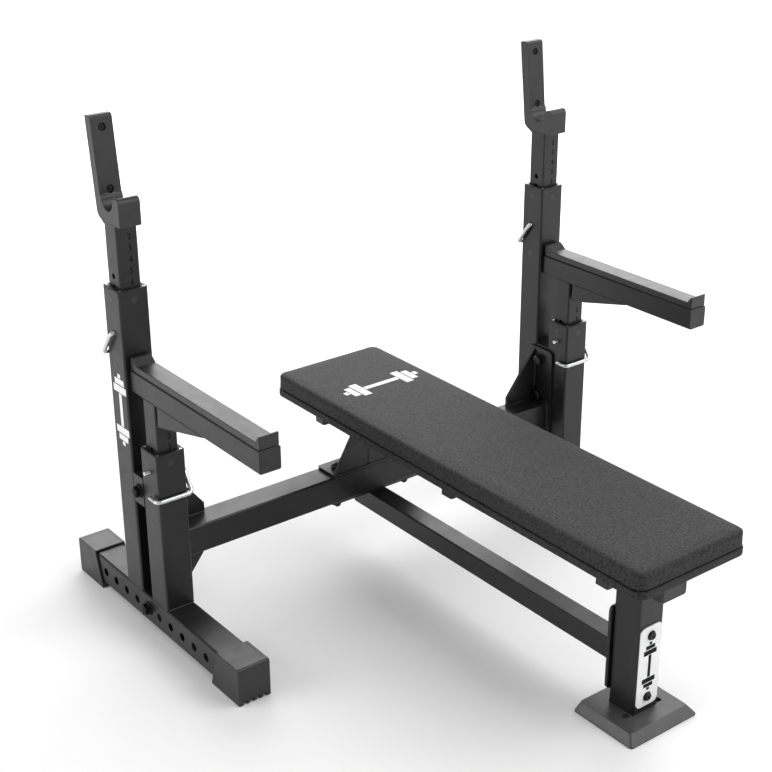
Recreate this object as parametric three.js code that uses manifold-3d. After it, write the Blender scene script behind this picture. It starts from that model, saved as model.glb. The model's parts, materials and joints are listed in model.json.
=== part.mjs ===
// Olympic bench press: a flat bench with two height-adjustable uprights, bar hooks and spotter arms.
// Millimetres, +Z up. X runs across the bench, +Y towards the head end, -Y towards the foot end.
// The origin is on the floor, at the centre of the overall box.
import * as THREE from "three";
import { mergeVertices } from "three/addons/utils/BufferGeometryUtils.js";
import Module from "manifold-3d";

const wasm = await Module();
wasm.setup();

// ---------- driving dimensions ----------
const GAP = 0.3; // between faces that touch
const TUBE = { size: 70, wall: 3, radius: 5 }; // frame tube
const SLIDE = { size: 50, wall: 3, radius: 4 }; // tube that slides inside the frame tube
const PITCH = 25; // height steps of the sliding tubes

const UPRIGHT_X = 599; // centre plane of each side frame
const MID_Y = 354; // centre line between the two posts of a side frame
const POST_PITCH = 112;
const BACK_Y = MID_Y + POST_PITCH / 2;
const FRONT_Y = MID_Y - POST_PITCH / 2;
const BACK_POST_TOP = 805;
const FRONT_POST_TOP = 467;

const BASE = { front: -33, back: 681, bottom: 15, holes: 10, holeRadius: 10.5, holePitch: 50 };
const BASE_TOP = BASE.bottom + TUBE.size;
const CAP = { width: 79, height: 90, top: 86, bottom: 112, end: 6 };
const CAP_NOTCH = { count: 4, width: 8, height: 9, depth: 10 };

const SPACER = { bottom: 318, height: 70, wall: 5 };
const BRACKET = { thickness: 6, width: 88, bottom: 18, top: 382, radius: 12, holes: [350, 50] };
const GUSSET = { thickness: 8, offset: 22, inner: 463, half: 57.5, rise: 180 };
const BEAM_Z = 200; // centre height of the crossbeam
const BOLT = { radius: 8, head: 14.5, headHeight: 12, washer: 17, washerHeight: 3, end: 1.5 };
const BRACKET_BOLT_Z = { upper: 350, lower: 50 };
const BOLT_CLEARANCE = 0.5;

const BUSH = { flange: 3, depth: 36, bore: 50.8, sleeve: 63.4 };
const HOOK_PIN_Z = 705;
const ARM_PIN_Z = 418;
const PIN_HOLE = { radius: 6.4, sides: 8 };

const HOOK = { seat: 944, tip: 1160, width: 51, plate: 6, lip: 46, lipRadius: 11, lipZ: 993.7 };
const CHANNEL = { radius: 24, y: 3, z: 994.5, steps: 14 };
const HOOK_SLIDE = { bottom: 490, topHole: 830, holes: 13 };
const HOOK_SCREW = { upper: 1134.5, lower: 1007, head: 6, recess: 8.5, shank: 3, depth: 8 };
const LEAN = Math.atan2(21.7, 200); // backward lean of the hook plate

const ARM = { rear: 73, length: 499, bottom: 580, size: 50, wall: 3 };
const ARM_GUSSET = { rear: 35, drop: 45, run: 184 };
const ARM_SLIDE = { bottom: 285, topHole: 468, holes: 7 };
const STRIP = { width: 46, thickness: 14.7, lip: 13.5, setback: 1.5 };
const STRIP_LIP = { rearFoot: 28, rearTop: 10, frontFoot: 14, frontTop: 4 };

// locking pin, bent from one rod: distances from the post's faces, then the handle's own sizes
const LOCK_PIN = { radius: 5, tip: 13.4, out: 8, drop: 56, reach: 41.5, hook: 34, bend: 9 };

const SPINE = { bottom: 314.2, top: 364.2, head: 486, foot: -632 };
const PAD = { bottom: 384.8, seam: 402.8, top: 441, width: 300, head: 535, foot: -681 };
const PAD_EDGE = { corner: 22, inset: 1, round: 6, boardLip: 2, boardRound: 1.5 };
const PAD_BRACKET = { length: 280, width: 35, wall: 4, centres: { head: 368, middle: -102, foot: -569 } };
const SADDLE = { length: 270, thickness: 6, radius: 6, clampWidth: 58, gussetTop: 350 };
const SADDLE_BOLT = { x: 103, radius: 8, head: 13.5, headHeight: 11, nutHeight: 24 };
const HEAD_GUSSET = { thickness: 8, foot: 132, top: 67, setback: 2 };

const LOWER_BEAM = { top: 158.4, rear: 389 };
const FOOT_POST = { y: -545, bottom: 14.3 };
const FOOT_FLANGE = { thickness: 7, width: 84, bottom: 52, top: 250, radius: 10 };
const FOOT_PLATE = { height: 22, rim: 4, radius: 6, pocket: 14 };
const FOOT_SOLE = { width: 192, front: -637, back: -471 };
const FOOT_CROWN = { width: 166, front: -620, back: -476 };
const FOOT_SLOT = { x: 45, y: -571, width: 18, length: 14, depth: 8, radius: 3 };
const PLATE_SCREW = { head: 11.2, crown: 8, height: 5, socket: 2.9, shank: 4, hole: 4.4 };
const NAME_PLATE = { width: 61, bottom: 36, height: 192, thickness: 2.7, radius: 12 };
const PLATE_SCREW_Z = { lower: 58, upper: 205 };

// ---------- materials ----------
const finish = (color, roughness, metalness) => ({ color, roughness, metalness });
const POWDER = finish(0x2b2b2c, 0.45, 0.3);
const RUBBER = finish(0x232324, 0.8, 0);
const NYLON = finish(0x303032, 0.5, 0);
const STRIP_PLASTIC = finish(0x2e2e30, 0.45, 0);
const CHROME = finish(0xd8dade, 0.15, 1);
const BLACK_STEEL = finish(0x151516, 0.35, 0.7);
const LEATHERETTE = finish(0x343436, 0.6, 0);
const WHITE_PAINT = finish(0xf4f4f2, 0.35, 0.1);

const bench = new THREE.Group();
bench.name = "olympic_bench_press";

/** Adds one named mesh with its own material to a group. */
function piece(group, name, geometry, look) {
  const mesh = new THREE.Mesh(geometry, new THREE.MeshStandardMaterial(look));
  mesh.name = name;
  group.add(mesh);
  return mesh;
}

// ---------- solids ----------
function toSolid(geometry) {
  const bare = geometry.clone();
  bare.deleteAttribute("normal");
  bare.deleteAttribute("uv");
  const welded = mergeVertices(bare, 1e-4);
  const mesh = new wasm.Mesh({
    numProp: 3,
    vertProperties: Float32Array.from(welded.attributes.position.array),
    triVerts: Uint32Array.from(welded.index.array),
  });
  return new wasm.Manifold(mesh);
}

function toGeometry(solid) {
  const mesh = solid.getMesh();
  const geometry = new THREE.BufferGeometry();
  geometry.setAttribute("position", new THREE.BufferAttribute(mesh.vertProperties, mesh.numProp));
  geometry.setIndex(new THREE.BufferAttribute(mesh.triVerts, 1));
  geometry.computeVertexNormals();
  return geometry;
}

const join = (first, ...others) =>
  toGeometry(others.reduce((sum, g) => sum.add(toSolid(g)), toSolid(first)));
const cut = (first, ...tools) =>
  toGeometry(tools.reduce((rest, g) => rest.subtract(toSolid(g)), toSolid(first)));

/** A box from its lowest and highest corners. */
function block([x0, y0, z0], [x1, y1, z1]) {
  const box = new THREE.BoxGeometry(x1 - x0, y1 - y0, z1 - z0);
  return box.translate((x0 + x1) / 2, (y0 + y1) / 2, (z0 + z1) / 2);
}

/** A cylinder from point a to point b. */
function rod(a, b, radius, sides = 16, endRadius = radius) {
  const from = new THREE.Vector3(...a);
  const along = new THREE.Vector3(...b).sub(from);
  const cylinder = new THREE.CylinderGeometry(endRadius, radius, along.length(), sides);
  const up = new THREE.Vector3(0, 1, 0);
  cylinder.applyQuaternion(new THREE.Quaternion().setFromUnitVectors(up, along.clone().normalize()));
  const middle = from.addScaledVector(along, 0.5);
  return cylinder.translate(middle.x, middle.y, middle.z);
}

function roundedRect(width, height, radius, path = new THREE.Shape()) {
  const x = width / 2;
  const y = height / 2;
  path.moveTo(x, y - radius);
  path.absarc(x - radius, y - radius, radius, 0, Math.PI / 2);
  path.absarc(radius - x, y - radius, radius, Math.PI / 2, Math.PI);
  path.absarc(radius - x, radius - y, radius, Math.PI, 1.5 * Math.PI);
  path.absarc(x - radius, radius - y, radius, 1.5 * Math.PI, 2 * Math.PI);
  path.closePath();
  return path;
}

/** A shape pushed up by height. */
function prism(shape, height, curveSegments = 2) {
  return new THREE.ExtrudeGeometry(shape, { depth: height, bevelEnabled: false, curveSegments });
}

/** A closed outline in the YZ plane, pushed along X and centred on x = 0. */
function sideProfile(points, width) {
  const shape = new THREE.Shape(points.map(([y, z]) => new THREE.Vector2(y, z)));
  const body = new THREE.ExtrudeGeometry(shape, { depth: width, bevelEnabled: false });
  // shape x, shape y and depth become Y, Z and X
  const turn = new THREE.Matrix4().makeBasis(
    new THREE.Vector3(0, 1, 0),
    new THREE.Vector3(0, 0, 1),
    new THREE.Vector3(1, 0, 0),
  );
  return body.applyMatrix4(turn).translate(-width / 2, 0, 0);
}

/** A closed outline in the XZ plane, pushed along Y between y0 and y1. */
function frontProfile(points, y0, y1) {
  const shape = new THREE.Shape(points.map(([x, z]) => new THREE.Vector2(x, z)));
  return prism(shape, y1 - y0).rotateX(Math.PI / 2).translate(0, y1, 0);
}

/** Square hollow tube standing on z = 0. */
function hollowTube({ size, wall, radius }, length) {
  const shape = roundedRect(size, size, radius);
  const inner = size - 2 * wall;
  shape.holes.push(roundedRect(inner, inner, Math.max(radius - wall, 1), new THREE.Path()));
  return prism(shape, length);
}

const uprightTube = (spec, y, z0, z1) => hollowTube(spec, z1 - z0).translate(0, y, z0);
const tubeAlongY = (spec, y0, y1, z) => hollowTube(spec, y1 - y0).rotateX(-Math.PI / 2).translate(0, y0, z);
const tubeAlongX = (spec, length, y, z) =>
  hollowTube(spec, length).rotateY(Math.PI / 2).translate(-length / 2, y, z);

/** Round holes through a tube along X, one for each height. */
const crossHoles = (heights, y, radius, sides = 12) =>
  heights.map((z) => rod([-TUBE.size, y, z], [TUBE.size, y, z], radius, sides));

/** Points of an arc in a plane, both ends included. */
function arc(cx, cy, radius, from, to, steps) {
  return Array.from({ length: steps + 1 }, (_, i) => {
    const a = from + ((to - from) * i) / steps;
    return [cx + radius * Math.cos(a), cy + radius * Math.sin(a)];
  });
}

/** Corner points of a rounded rectangle between front and back. */
function rimPoints({ width, front, back }, radius) {
  const shape = roundedRect(width, back - front, radius);
  const points = shape.extractPoints(3).shape.slice(0, -1);
  return points.map(({ x, y }) => new THREE.Vector2(x, y + (front + back) / 2));
}

/** A solid between two outlines of equally many points, at heights z0 and z1. */
function loft(lower, upper, z0, z1) {
  const count = lower.length;
  const corners = [lower, upper].flatMap((rim, level) => rim.map(({ x, y }) => [x, y, level ? z1 : z0]));
  const sides = lower.flatMap((_, i) => {
    const next = (i + 1) % count;
    return [i, next, count + next, i, count + next, count + i];
  });
  const caps = THREE.ShapeUtils.triangulateShape(lower, []);
  const faces = [sides, caps.flatMap(([a, b, c]) => [a, c, b]), caps.flat().map((i) => i + count)].flat();
  const geometry = new THREE.BufferGeometry();
  geometry.setAttribute("position", new THREE.Float32BufferAttribute(corners.flat(), 3));
  geometry.setIndex(faces);
  geometry.computeVertexNormals();
  return geometry;
}

/** Round wire along a route of 3-D points, with rounded bends. */
function wire(points, radius, bend, steps) {
  const route = new THREE.CurvePath();
  const at = points.map((p) => new THREE.Vector3(...p));
  let start = at[0];
  for (let i = 1; i < at.length - 1; i += 1) {
    const before = at[i].clone().sub(at[i - 1]);
    const after = at[i + 1].clone().sub(at[i]);
    const room = Math.min(bend, before.length() * 0.45, after.length() * 0.45);
    const enter = at[i].clone().addScaledVector(before.normalize(), -room);
    const leave = at[i].clone().addScaledVector(after.normalize(), room);
    route.add(new THREE.LineCurve3(start, enter));
    route.add(new THREE.QuadraticBezierCurve3(enter, at[i], leave));
    start = leave;
  }
  route.add(new THREE.LineCurve3(start, at[at.length - 1]));
  const section = new THREE.Shape().absarc(0, 0, radius, 0, 2 * Math.PI);
  const options = { steps, extrudePath: route, curveSegments: 4, bevelEnabled: false };
  return new THREE.ExtrudeGeometry(section, options);
}

// ---------- side frame ----------
function baseTube() {
  const y0 = BASE.front + CAP.end + GAP;
  const y1 = BASE.back - CAP.end - GAP;
  const z = BASE.bottom + TUBE.size / 2;
  const holes = Array.from({ length: BASE.holes }, (_, i) => {
    const y = MID_Y + BASE.holePitch * (4 - i);
    return rod([-TUBE.size, y, z], [TUBE.size, y, z], BASE.holeRadius, 8);
  });
  return cut(tubeAlongY(TUBE, y0, y1, z), ...holes);
}

/** Rubber end cap, with its closed end at y = 0 and its body towards +Y. */
function footCap() {
  const round = 6;
  const outline = [
    [2, 0],
    [CAP.bottom, 0],
    [CAP.bottom - 3, 12],
    [CAP.top, CAP.height],
    ...arc(round, CAP.height - round, round, Math.PI / 2, Math.PI, 3),
    [0, 2],
  ];
  const pocket = TUBE.size + 2 * GAP;
  const side = pocket / 2;
  const floor = BASE.bottom - GAP;
  const notches = Array.from({ length: CAP_NOTCH.count }, (_, i) => {
    const x = (i - (CAP_NOTCH.count - 1) / 2) * CAP_NOTCH.width * 2;
    const half = CAP_NOTCH.width / 2;
    return block([x - half, -1, -1], [x + half, CAP_NOTCH.depth, CAP_NOTCH.height]);
  });
  return cut(
    sideProfile(outline, CAP.width),
    block([-side, CAP.end, floor], [side, CAP.bottom + 1, floor + pocket]),
    ...notches,
  );
}

function post(y, top, pinZ) {
  const tube = uprightTube(TUBE, y, BASE_TOP + GAP, top - BUSH.flange);
  return cut(tube, ...crossHoles([pinZ], y, PIN_HOLE.radius));
}

/** Nylon bush: a flange on the tube's end and a sleeve inside it. */
function glideBush(y, top) {
  const under = top - BUSH.flange + GAP;
  const { depth, sleeve, bore } = BUSH;
  const flange = prism(roundedRect(TUBE.size, TUBE.size, TUBE.radius), top - under);
  const lining = prism(roundedRect(sleeve, sleeve, 2), depth);
  const body = join(flange.translate(0, y, under), lining.translate(0, y, under - depth + 1));
  const opening = prism(roundedRect(bore, bore, SLIDE.radius), depth + 20);
  return cut(body, opening.translate(0, y, under - depth - 5));
}

/** Block that ties the two posts together, hollow towards the bench. */
function postSpacer(inward) {
  const half = TUBE.size / 2;
  const y = (POST_PITCH - TUBE.size) / 2 - GAP;
  const z0 = SPACER.bottom;
  const z1 = z0 + SPACER.height;
  const w = SPACER.wall;
  const body = block([-half, MID_Y - y, z0], [half, MID_Y + y, z1]);
  const inner = [inward * (w - half), inward * (half + 1)].sort((a, b) => a - b);
  const pocket = block([inner[0], MID_Y - y + w, z0 + w], [inner[1], MID_Y + y - w, z1 - w]);
  return cut(body, pocket, ...crossHoles([BRACKET_BOLT_Z.upper], MID_Y, BOLT.radius + BOLT_CLEARANCE));
}

/** Plate on the posts' inner faces, with one gusset above the beam and one below it. */
function crossbeamBracket(inward) {
  const face = TUBE.size / 2 + GAP;
  const outer = inward * face;
  const inner = inward * (face + BRACKET.thickness);
  const height = BRACKET.top - BRACKET.bottom;
  const plate = prism(roundedRect(height, BRACKET.width, BRACKET.radius), BRACKET.thickness)
    .rotateY(Math.PI / 2)
    .translate(Math.min(outer, inner), MID_Y, (BRACKET.top + BRACKET.bottom) / 2);
  const y = MID_Y + GUSSET.offset - GUSSET.thickness / 2;
  const tip = inward * (UPRIGHT_X - GUSSET.inner);
  const root = inward * (face + BRACKET.thickness - 1);
  const gussets = [1, -1].map((up) => {
    const z = (rise) => BEAM_Z + up * rise;
    const edge = TUBE.size / 2 + GAP;
    return frontProfile(
      [
        [root, z(edge)],
        [tip, z(edge)],
        [tip, z(GUSSET.half)],
        [root, z(GUSSET.rise)],
      ],
      y,
      y + GUSSET.thickness,
    );
  });
  const holes = crossHoles(BRACKET.holes, MID_Y, BOLT.radius + BOLT_CLEARANCE);
  return cut(join(plate, ...gussets), ...holes);
}

/** Bolt through the bracket and the side frame, with its washers and nut. */
function bracketBolt(inward, z) {
  const plateFace = TUBE.size / 2 + GAP + BRACKET.thickness + GAP;
  const outFace = TUBE.size / 2 + GAP;
  const x = (depth) => [inward * depth, MID_Y, z];
  const washerTop = plateFace + BOLT.washerHeight;
  const nutSeat = -outFace - BOLT.washerHeight;
  const headTop = washerTop + BOLT.headHeight;
  const nutEnd = nutSeat - BOLT.headHeight;
  return join(
    rod(x(nutEnd - BOLT.end), x(headTop), BOLT.radius, 8),
    rod(x(plateFace), x(washerTop), BOLT.washer, 12),
    rod(x(washerTop - 0.1), x(headTop), BOLT.head, 6),
    rod(x(-outFace), x(nutSeat), BOLT.washer, 12),
    rod(x(nutSeat + 0.1), x(nutEnd), BOLT.head, 6),
  );
}

// ---------- bar hooks ----------
const holeHeights = ({ topHole, holes }) => Array.from({ length: holes }, (_, i) => topHole - i * PITCH);

/** A point on the hook plate's back, at this height and this far in front of it. */
function hookBack(z, forward) {
  const top = 72.7;
  return [top - (HOOK.tip - z) * Math.tan(LEAN) - forward / Math.cos(LEAN), z];
}

/** Front face of the backing strip, from its straight part down to its foot, moved forward by gap. */
function stripFront(gap) {
  const half = SLIDE.size / 2;
  return [
    hookBack(964, HOOK.plate + gap),
    [half + 16 - gap, 956 + gap],
    [half + 6 - gap, 950.5 + gap],
    [half - HOOK.plate - gap, 949 + gap],
  ];
}

/** Sliding tube with its end plate and the steel strip that backs the hook. */
function hookSlider() {
  const half = SLIDE.size / 2;
  const seat = HOOK.seat - GAP;
  const tube = uprightTube(SLIDE, 0, HOOK_SLIDE.bottom, seat);
  const lid = prism(roundedRect(SLIDE.size, SLIDE.size, SLIDE.radius), 5).translate(0, 0, seat - 5);
  const outline = [
    [half - HOOK.plate, seat - 4],
    [half, seat - 4],
    [half + 9, 945.2],
    [half + 18, 949.5],
    [half + 24, 956],
    hookBack(963, 0),
    hookBack(HOOK.tip - 2, 0),
    hookBack(HOOK.tip - 2, HOOK.plate),
    ...stripFront(0),
  ];
  const strip = sideProfile(outline, SLIDE.size);
  const holes = crossHoles(holeHeights(HOOK_SLIDE), 0, PIN_HOLE.radius, PIN_HOLE.sides);
  const clearance = HOOK_SCREW.shank + 0.4;
  const screws = [HOOK_SCREW.upper, HOOK_SCREW.lower].map((z) => hookScrewHole(z, clearance, -8, 30));
  return cut(join(tube, lid, strip), ...holes, ...screws);
}

/** The plate's front face leans back with height. */
function hookFace(z) {
  return [31.5 + (z - 1001) * Math.tan(LEAN), z];
}

/** Round bore square to the hook's face: from depth start in front of the face to depth end behind it. */
function hookScrewHole(z, radius, start, end, sides = 12) {
  const [y] = hookFace(z);
  const at = (depth) => [0, y + depth * Math.cos(LEAN), z - depth * Math.sin(LEAN)];
  return rod(at(start), at(end), radius, sides);
}

/** Moulded J-shaped hook: tall plate, round bar channel and front lip. */
function barHook() {
  const { lip, lipRadius, lipZ } = HOOK;
  const outline = [
    [-lip, HOOK.seat],
    ...arc(lipRadius - lip, lipZ, lipRadius, Math.PI, 0.2 * Math.PI, 7),
    ...arc(CHANNEL.y, CHANNEL.z, CHANNEL.radius, Math.PI, 2 * Math.PI, CHANNEL.steps),
    hookFace(1001),
    hookFace(HOOK.tip - 5),
    [hookFace(HOOK.tip)[0] + 1.5, HOOK.tip - 1.5],
    [hookFace(HOOK.tip)[0] + 5, HOOK.tip],
    hookBack(HOOK.tip, HOOK.plate + GAP),
    ...stripFront(GAP),
    [SLIDE.size / 2 - HOOK.plate - GAP, HOOK.seat],
  ];
  const screws = [HOOK_SCREW.upper, HOOK_SCREW.lower].flatMap((z) => [
    hookScrewHole(z, HOOK_SCREW.recess, -5, HOOK_SCREW.depth),
    hookScrewHole(z, HOOK_SCREW.shank + 0.4, -5, 40),
  ]);
  return cut(sideProfile(outline, HOOK.width), ...screws);
}

/** Socket-head screw that holds the hook to its backing strip. */
function hookScrew(z) {
  const seat = HOOK_SCREW.depth - GAP;
  const head = hookScrewHole(z, HOOK_SCREW.head, seat - 6, seat);
  const shank = hookScrewHole(z, HOOK_SCREW.shank, seat - 1, seat + 12, 8);
  const socket = hookScrewHole(z, 2.6, seat - 8, seat - 3, 6);
  return cut(join(head, shank), socket);
}

// ---------- spotter arms ----------
/** Sliding tube, arm tube and gusset in one welded piece; y = 0 is the slider's centre. */
function spotterArm() {
  const half = ARM.size / 2;
  const front = ARM.rear - ARM.length;
  const slider = uprightTube(SLIDE, 0, ARM_SLIDE.bottom, ARM.bottom + 1);
  const section = { size: ARM.size, wall: ARM.wall, radius: SLIDE.radius };
  const arm = tubeAlongY(section, front, ARM.rear, ARM.bottom + half);
  const [frontLid, rearLid] = [front, ARM.rear - ARM.wall].map((y) =>
    prism(roundedRect(ARM.size, ARM.size, SLIDE.radius), ARM.wall)
      .rotateX(-Math.PI / 2)
      .translate(0, y, ARM.bottom + half),
  );
  const rear = -ARM_GUSSET.rear;
  const low = ARM.bottom - ARM_GUSSET.drop;
  const w = ARM.wall;
  const tip = rear - ARM_GUSSET.run;
  const gusset = sideProfile(
    [
      [rear, ARM.bottom + 1],
      [tip, ARM.bottom + 1],
      [tip, ARM.bottom],
      [rear, low],
    ],
    ARM.size,
  );
  const gussetHollow = sideProfile(
    [
      [rear - w, ARM.bottom + w + 1],
      [tip + 5 * w, ARM.bottom + w + 1],
      [tip + 5 * w, ARM.bottom],
      [rear - w, low + 1.4 * w],
    ],
    ARM.size - 2 * w,
  );
  const inside = half - w;
  const sliderHollow = block([-inside, -inside, ARM.bottom - 2], [inside, inside, ARM.bottom + w + 1]);
  const holes = crossHoles(holeHeights(ARM_SLIDE), 0, PIN_HOLE.radius, PIN_HOLE.sides);
  return cut(join(slider, arm, frontLid, rearLid, gusset), gussetHollow, sliderHollow, ...holes);
}

/** Plastic strip on the arm, with a raised lip at each end. */
function armStrip() {
  const z = ARM.bottom + ARM.size + GAP;
  const top = z + STRIP.thickness;
  const rear = ARM.rear - 1;
  const front = ARM.rear - ARM.length + STRIP.setback;
  const outline = [
    [front, z],
    [rear, z],
    [rear, top + STRIP.lip],
    [rear - STRIP_LIP.rearTop, top + STRIP.lip],
    [rear - STRIP_LIP.rearFoot, top],
    [front + STRIP_LIP.frontFoot, top],
    [front + STRIP_LIP.frontTop, top + STRIP.lip],
    [front, top + STRIP.lip],
  ];
  return sideProfile(outline, STRIP.width);
}

// ---------- locking pins ----------
/**
 * Round rod through a post along X, with its tip at the -X face. Past the +X face it bends down and
 * towards -Y, crosses the post's front face and ends in a hook along the -X face.
 */
function lockingPin() {
  const { radius, tip, out, drop, reach, hook, bend } = LOCK_PIN;
  const face = TUBE.size / 2;
  const side = face + out;
  const points = [
    [-face - tip, 0, 0],
    [side, 0, 0],
    [side, -reach, -drop],
    [-side, -reach, -drop],
    [-side, hook - reach, -drop],
  ];
  return wire(points, radius, bend, 54);
}

// ---------- bench ----------
/** Padded part: slab with rounded corners and a softened upper edge. */
function padSlab(width, y0, y1, z0, z1, edge) {
  const shape = roundedRect(width - 2 * edge, y1 - y0 - 2 * edge, PAD_EDGE.corner - edge);
  const body = new THREE.ExtrudeGeometry(shape, {
    depth: z1 - z0 - 2 * edge,
    bevelThickness: edge,
    bevelSize: edge,
    bevelSegments: 2,
    curveSegments: 5,
  });
  return body.translate(0, (y0 + y1) / 2, z0 + edge);
}

function padBoard() {
  const { width, foot, head, bottom, seam } = PAD;
  return padSlab(width + 2 * PAD_EDGE.boardLip, foot, head, bottom, seam, PAD_EDGE.boardRound);
}

function padCushion() {
  const { width, foot, head, seam, top } = PAD;
  const { inset, round: edge } = PAD_EDGE;
  const z0 = seam + GAP;
  const slab = padSlab(width - 2 * inset, foot + inset, head - inset, z0 - 2 * edge, top, edge);
  return cut(slab, block([-width, foot - 9, z0 - 3 * edge], [width, head + 9, z0]));
}

/** Channel between the spine and the pad, open underneath. */
function padBracket() {
  const x = PAD_BRACKET.length / 2;
  const y = PAD_BRACKET.width / 2;
  const bottom = SPINE.top + GAP;
  const top = PAD.bottom - GAP;
  const w = PAD_BRACKET.wall;
  return cut(
    prism(roundedRect(2 * x, 2 * y, 4), top - bottom).translate(0, 0, bottom),
    block([-x + w, -y + w, bottom - 1], [x - w, y - w, top - w]),
  );
}

/** Spine under the pad. Both ends are open. */
function benchSpine() {
  const height = SPINE.top - SPINE.bottom;
  const shape = roundedRect(TUBE.size, height, TUBE.radius);
  shape.holes.push(roundedRect(TUBE.size - 2 * TUBE.wall, height - 2 * TUBE.wall, 2, new THREE.Path()));
  return prism(shape, SPINE.head - SPINE.foot)
    .rotateX(-Math.PI / 2)
    .translate(0, SPINE.foot, (SPINE.top + SPINE.bottom) / 2);
}

/** Flat plate along the crossbeam with rounded corners, from z0 up. */
function saddlePlate(width, z0) {
  return prism(roundedRect(SADDLE.length, width, SADDLE.radius), SADDLE.thickness).translate(0, MID_Y, z0);
}

/** Saddle plate, short post and gussets that carry the spine on the crossbeam. */
function headPost() {
  const half = TUBE.size / 2;
  const z0 = BEAM_Z + half + GAP;
  const z1 = z0 + SADDLE.thickness;
  const plate = saddlePlate(TUBE.size, z0);
  const tube = uprightTube(TUBE, MID_Y, z1 - 1, SPINE.bottom - GAP);
  const front = MID_Y - half + HEAD_GUSSET.setback;
  const gussets = [-1, 1].map((side) =>
    frontProfile(
      [
        [side * (half - 1), z1 - 1],
        [side * HEAD_GUSSET.foot, z1 - 1],
        [side * HEAD_GUSSET.top, SADDLE.gussetTop],
        [side * (half + GAP), SADDLE.gussetTop],
        [side * (half + GAP), SPINE.bottom - GAP],
        [side * (half - 1), SPINE.bottom - GAP],
      ],
      front,
      front + HEAD_GUSSET.thickness,
    ),
  );
  return cut(join(plate, tube, ...gussets), ...saddleBoltHoles(z0 - 1, z1 + 1));
}

const saddleBoltHoles = (z0, z1) =>
  [-1, 1].map((side) => {
    const x = side * SADDLE_BOLT.x;
    return rod([x, MID_Y, z0], [x, MID_Y, z1], SADDLE_BOLT.radius + BOLT_CLEARANCE, 12);
  });

function crossbeam() {
  const reach = UPRIGHT_X - TUBE.size / 2 - BRACKET.thickness - 2 * GAP;
  const half = TUBE.size / 2;
  return cut(
    tubeAlongX(TUBE, 2 * reach, MID_Y, BEAM_Z),
    ...saddleBoltHoles(BEAM_Z - half - 1, BEAM_Z + half + 1),
  );
}

function clampPlate() {
  const z1 = BEAM_Z - TUBE.size / 2 - GAP;
  const z0 = z1 - SADDLE.thickness;
  return cut(saddlePlate(SADDLE.clampWidth, z0), ...saddleBoltHoles(z0 - 1, z1 + 1));
}

/** Round-headed bolt through the saddle, the beam and the clamp plate, with a domed nut. */
function saddleBolt() {
  const { radius, head, headHeight, nutHeight } = SADDLE_BOLT;
  const grip = TUBE.size / 2 + SADDLE.thickness + 2 * GAP;
  const top = BEAM_Z + grip;
  const low = BEAM_Z - grip;
  const washer = 4;
  const hex = 14;
  const z = (height) => [0, 0, height];
  return join(
    rod(z(low - washer), z(top + washer), radius),
    rod(z(top), z(top + washer), head),
    rod(z(top + washer - 0.1), z(top + headHeight), head - 2, 16, head - 5),
    rod(z(low), z(low - washer), head),
    rod(z(low - washer + 0.1), z(low - hex), head - 2, 6),
    rod(z(low - hex + 0.1), z(low - nutHeight), head - 3.5, 16, head - 8),
  );
}

const footPostBack = FOOT_POST.y + TUBE.size / 2;

/** Beam under the bench, with the end plate that bolts to the back of the foot post. */
function lowerBeam() {
  const front = footPostBack + GAP + FOOT_FLANGE.thickness;
  const height = FOOT_FLANGE.top - FOOT_FLANGE.bottom;
  const plate = prism(roundedRect(FOOT_FLANGE.width, height, FOOT_FLANGE.radius), FOOT_FLANGE.thickness)
    .rotateX(Math.PI / 2)
    .translate(0, front, (FOOT_FLANGE.top + FOOT_FLANGE.bottom) / 2);
  const tube = tubeAlongY(SLIDE, front - 1, LOWER_BEAM.rear, LOWER_BEAM.top - SLIDE.size / 2);
  return join(plate, tube);
}

function footPost() {
  return uprightTube(TUBE, FOOT_POST.y, FOOT_POST.bottom, SPINE.bottom - GAP);
}

/** Rubber foot: bevelled on all four sides, with a pocket for the post and two slots. */
function footPlate() {
  const { height, rim, radius, pocket } = FOOT_PLATE;
  const sole = rimPoints(FOOT_SOLE, radius);
  const crown = rimPoints(FOOT_CROWN, radius);
  const side = TUBE.size / 2 + GAP;
  const slots = [-1, 1].map((s) =>
    prism(roundedRect(FOOT_SLOT.width, FOOT_SLOT.length, FOOT_SLOT.radius), FOOT_SLOT.depth + 1).translate(
      s * FOOT_SLOT.x,
      FOOT_SLOT.y,
      height - FOOT_SLOT.depth,
    ),
  );
  return cut(
    join(loft(sole, sole, 0, rim), loft(sole, crown, rim - 0.01, height)),
    block([-side, FOOT_POST.y - side, pocket], [side, FOOT_POST.y + side, height + 1]),
    ...slots,
  );
}

const footPostFront = FOOT_POST.y - TUBE.size / 2;

function namePlate() {
  const { width, height, thickness, radius, bottom } = NAME_PLATE;
  const y = footPostFront - GAP;
  const plate = prism(roundedRect(width, height, radius), thickness)
    .rotateX(Math.PI / 2)
    .translate(0, y, bottom + height / 2);
  const holes = Object.values(PLATE_SCREW_Z).map((z) =>
    rod([0, y + 1, z], [0, y - thickness - 1, z], PLATE_SCREW.hole, 12),
  );
  return cut(plate, ...holes);
}

/** Button-head screw, with its shank stopping short of the post's wall. */
function namePlateScrew(z) {
  const face = footPostFront - GAP - NAME_PLATE.thickness;
  const seat = face - 0.2;
  const body = join(
    rod([0, face + NAME_PLATE.thickness, z], [0, seat - 1, z], PLATE_SCREW.shank, 12),
    rod([0, seat, z], [0, seat - PLATE_SCREW.height, z], PLATE_SCREW.head, 16, PLATE_SCREW.crown),
  );
  return cut(body, rod([0, seat - 2, z], [0, seat - PLATE_SCREW.height - 1, z], PLATE_SCREW.socket, 6));
}

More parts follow.
